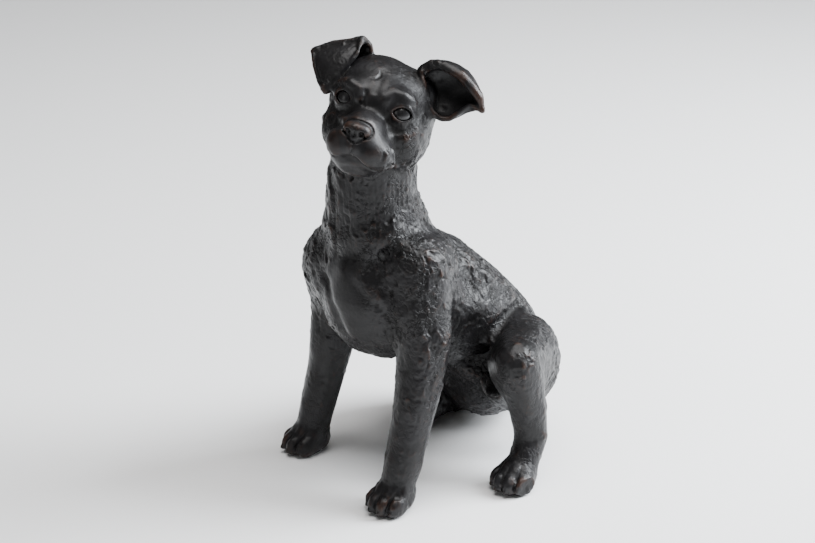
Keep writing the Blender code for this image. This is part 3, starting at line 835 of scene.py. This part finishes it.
def bronze_paint():
    material, tree, shader = nodes_of("bronze_paint")
    where = add(tree, "ShaderNodeTexCoord").outputs["Object"]

    def noise(scale, detail=4.0, rough=0.55):
        node = add(tree, "ShaderNodeTexNoise", Scale=scale, Detail=detail, Roughness=rough)
        tree.links.new(where, node.inputs["Vector"])
        return node.outputs["Fac"]

    high = add(tree, "ShaderNodeAttribute", attribute_name="high").outputs["Fac"]
    deep = add(tree, "ShaderNodeAttribute", attribute_name="deep").outputs["Fac"]
    torn_share = add(tree, "ShaderNodeAttribute", attribute_name="torn").outputs["Fac"]
    mottled = mix_colour(tree, ramp(tree, noise(38), 0.38, 0.66), PAINT_DARK, PAINT_LIGHT)
    rubbed_spots = ramp(tree, noise(70, 5.0), 0.42, 0.62)
    brown = math_node(tree, "MULTIPLY", ramp(tree, high, 0.10, 0.95), rubbed_spots)
    brown = math_node(tree, "MULTIPLY", brown, 0.7)
    rubbed = mix_colour(tree, brown, mottled, RUBBED_BROWN)
    hollow = ramp(tree, deep, 0.12, 1.0)
    # painted shade: the hollows and creases darkened in the base colour (they are also made rougher)
    colour = mix_colour(tree, math_node(tree, "MULTIPLY", hollow, 0.75), rubbed, HOLLOW_PAINTED_SHADE)
    tree.links.new(colour, shader.inputs["Base Color"])
    rough = math_node(tree, "MULTIPLY", ramp(tree, noise(120), 0.3, 0.7), 0.14)
    rough = math_node(tree, "ADD", rough, 0.33)
    rough = math_node(tree, "ADD", rough, math_node(tree, "MULTIPLY", hollow, 0.2))
    tree.links.new(rough, shader.inputs["Roughness"])
    shader.inputs["Metallic"].default_value = 0.1
    shader.inputs["Specular IOR Level"].default_value = 0.25
    shader.inputs["Coat Weight"].default_value = 0.04
    shader.inputs["Coat Roughness"].default_value = 0.3
    cells = add(tree, "ShaderNodeTexVoronoi", feature="DISTANCE_TO_EDGE", Scale=210.0)
    wander = add(tree, "ShaderNodeVectorMath", operation="MULTIPLY_ADD")
    swirl = add(tree, "ShaderNodeTexNoise", Scale=180.0, Detail=3.0)
    tree.links.new(where, swirl.inputs["Vector"])
    tree.links.new(swirl.outputs["Color"], wander.inputs[0])
    wander.inputs[1].default_value = (0.006, 0.006, 0.006)
    tree.links.new(where, wander.inputs[2])
    tree.links.new(wander.outputs[0], cells.inputs["Vector"])
    cracks = ramp(tree, cells.outputs["Distance"], 0.0, 0.12)
    torn = add(tree, "ShaderNodeBump", Distance=0.0009)
    patches = math_node(tree, "MULTIPLY", ramp(tree, noise(60), 0.40, 0.62), torn_share)
    tree.links.new(math_node(tree, "MULTIPLY", patches, 0.9), torn.inputs["Strength"])
    tree.links.new(cracks, torn.inputs["Height"])
    coarse = add(tree, "ShaderNodeBump", Distance=0.0008)
    tree.links.new(math_node(tree, "MULTIPLY_ADD", torn_share, 0.38, 0.12), coarse.inputs["Strength"])
    tree.links.new(noise(420, 3.0), coarse.inputs["Height"])
    tree.links.new(torn.outputs["Normal"], coarse.inputs["Normal"])
    fine = add(tree, "ShaderNodeBump", Strength=0.20, Distance=0.0003)
    tree.links.new(noise(1500, 2.0), fine.inputs["Height"])
    tree.links.new(coarse.outputs["Normal"], fine.inputs["Normal"])
    tree.links.new(fine.outputs["Normal"], shader.inputs["Normal"])
    return material


def eye_paint():
    material, tree, shader = nodes_of("eye_paint")
    where = add(tree, "ShaderNodeTexCoord").outputs["Object"]
    cloud = add(tree, "ShaderNodeTexNoise", Scale=160.0, Detail=4.0)
    tree.links.new(where, cloud.inputs["Vector"])
    colour = mix_colour(tree, ramp(tree, cloud.outputs["Fac"], 0.35, 0.7), PAINT_DARK, EYE_LIGHT)
    tree.links.new(colour, shader.inputs["Base Color"])
    rough = math_node(tree, "MULTIPLY", cloud.outputs["Fac"], 0.12)
    tree.links.new(math_node(tree, "ADD", rough, 0.22), shader.inputs["Roughness"])
    shader.inputs["Metallic"].default_value = 0.3
    shader.inputs["Coat Weight"].default_value = 0.25
    shader.inputs["Coat Roughness"].default_value = 0.2
    bump = add(tree, "ShaderNodeBump", Strength=0.15, Distance=0.0002)
    tree.links.new(cloud.outputs["Fac"], bump.inputs["Height"])
    tree.links.new(bump.outputs["Normal"], shader.inputs["Normal"])
    return material


def felt():
    material, tree, shader = nodes_of("felt")
    where = add(tree, "ShaderNodeTexCoord").outputs["Object"]
    fuzz = add(tree, "ShaderNodeTexNoise", Scale=2200.0, Detail=6.0, Roughness=0.7)
    tree.links.new(where, fuzz.inputs["Vector"])
    colour = mix_colour(tree, ramp(tree, fuzz.outputs["Fac"], 0.3, 0.7), FELT_DARK, FELT_LIGHT)
    tree.links.new(colour, shader.inputs["Base Color"])
    tree.links.new(ramp(tree, fuzz.outputs["Fac"], -1.5, 1.0), shader.inputs["Roughness"])
    shader.inputs["Sheen Weight"].default_value = 0.3
    bump = add(tree, "ShaderNodeBump", Strength=0.6, Distance=0.0005)
    tree.links.new(fuzz.outputs["Fac"], bump.inputs["Height"])
    tree.links.new(bump.outputs["Normal"], shader.inputs["Normal"])
    return material


# ================================================================ the pieces
def belong(piece, node):
    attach(piece, "root")
    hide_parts(node)


def build_skin():
    clay = base_clay()
    shape_all(clay)
    points, quads = whole(*skin_of(clay))
    points = stroke_neck(points, quads)
    points = press_dabs(points, quads)
    points = relaxed(points, quads, 1, 0.3)
    points = crackle(points, quads)
    points[:, 2] = np.maximum(points[:, 2], GROUND_CLEARANCE)
    normals = facing(points, quads)
    if (normals * (points - points.mean(0))).sum() < 0:
        quads = quads[:, ::-1]
        normals = -normals
    near = relaxed(points, quads, 6)
    far = relaxed(near, quads, 30)
    fine = ((points - near) * normals).sum(1)
    broad = ((near - far) * normals).sum(1)
    high = np.clip(fine / 0.16, -1, 1) * 0.35 + np.clip(broad / 0.7, -1, 1) * 0.65
    # how deep each point lies in a hollow; the paint is darkened there as painted shade
    deep = np.clip(-fine / 0.14, 0, 1) * 0.6 + np.clip(-broad / 0.8, 0, 1.4) * 0.8
    torn = tooling(points) ** 1.5
    fields = {"high": np.clip(high, 0, 1), "deep": np.clip(deep, 0, 1.5), "torn": torn}
    material = bronze_paint()
    for name, part in part_skin(points, quads).items():
        piece = make_piece(name, points, normals, part, fields, material)
        belong(piece, name)


def build_eyes():
    material = eye_paint()
    for name, place in EYES.items():
        bpy.ops.mesh.primitive_uv_sphere_add(segments=64, ring_count=40, radius=EYE_RADIUS / 1000)
        ball = bpy.context.object
        ball.name = "eyeball_" + name
        ball.location = Vector(from_head(place)[0]) / 1000 + origin
        ball.data.materials.append(material)
        ball.data.polygons.foreach_set("use_smooth", [True] * len(ball.data.polygons))
        belong(ball, "eye_" + name)


def build_pads():
    material = felt()
    for node in PADS:
        low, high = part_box(node)
        bpy.ops.mesh.primitive_cylinder_add(vertices=72, radius=(high.x - low.x) / 2, depth=high.z - low.z)
        disc = bpy.context.object
        disc.name = "felt_" + node
        disc.location = (low + high) / 2
        bevel = disc.modifiers.new("Edge", "BEVEL")
        bevel.width = 0.00025
        bevel.segments = 2
        disc.data.materials.append(material)
        belong(disc, node)


# ================================================================ studio
def area_light(place, aim, size, power, colour=(1, 1, 1)):
    data = bpy.data.lights.new("Softbox", "AREA")
    data.shape = "RECTANGLE"
    data.size, data.size_y = size
    data.energy = power
    data.color = colour
    light = bpy.data.objects.new("Softbox", data)
    light.location = place
    light.rotation_euler = (Vector(aim) - Vector(place)).to_track_quat("-Z", "Y").to_euler()
    bpy.context.scene.collection.objects.link(light)


CAMERA_AZIMUTH, CAMERA_ELEVATION, CAMERA_DISTANCE = 52.0, 22.0, 1.43
CAMERA_AIM = Vector((0.003, 0.057, 0.1565))


def build_studio():
    aim = origin + CAMERA_AIM
    azimuth, elevation = math.radians(CAMERA_AZIMUTH), math.radians(CAMERA_ELEVATION)
    reach = math.cos(elevation)
    back = Vector((math.sin(azimuth) * reach, -math.cos(azimuth) * reach, math.sin(elevation)))
    right = Vector((math.cos(azimuth), math.sin(azimuth), 0))
    data = bpy.data.cameras.new("Camera")
    data.lens = 85
    data.sensor_width = 36
    camera = bpy.data.objects.new("Camera", data)
    camera.location = aim + back * CAMERA_DISTANCE
    camera.rotation_euler = (-back).to_track_quat("-Z", "Y").to_euler()
    bpy.context.scene.collection.objects.link(camera)
    bpy.context.scene.camera = camera
    bpy.ops.mesh.primitive_plane_add(size=12)
    floor = bpy.context.object
    floor.name = "floor"
    material, _, shader = nodes_of("floor")
    shader.inputs["Base Color"].default_value = (0.86, 0.86, 0.86, 1)
    shader.inputs["Roughness"].default_value = 0.9
    floor.data.materials.append(material)
    level = Vector((back.x, back.y, 0)).normalized()
    key = aim + right * 1.35 - level * 0.2 + Vector((0, 0, 0.85))
    overhead = aim + right * 0.2 + level * 0.2 + Vector((0, 0, 1.9))
    fill = aim - right * 1.5 + level * 1.2 + Vector((0, 0, 0.7))
    area_light(key, aim, (1.0, 1.2), 112, (0.92, 0.96, 1.0))
    area_light(overhead, aim, (1.6, 1.6), 60, (1.0, 0.99, 0.98))
    area_light(fill, aim, (0.7, 1.2), 4)
    world = bpy.data.worlds.new("Studio")
    world.use_nodes = True
    world.node_tree.nodes["Background"].inputs["Color"].default_value = (1, 1, 1, 1)
    world.node_tree.nodes["Background"].inputs["Strength"].default_value = 0.12
    bpy.context.scene.world = world


build_skin()
build_eyes()
build_pads()
build_studio()
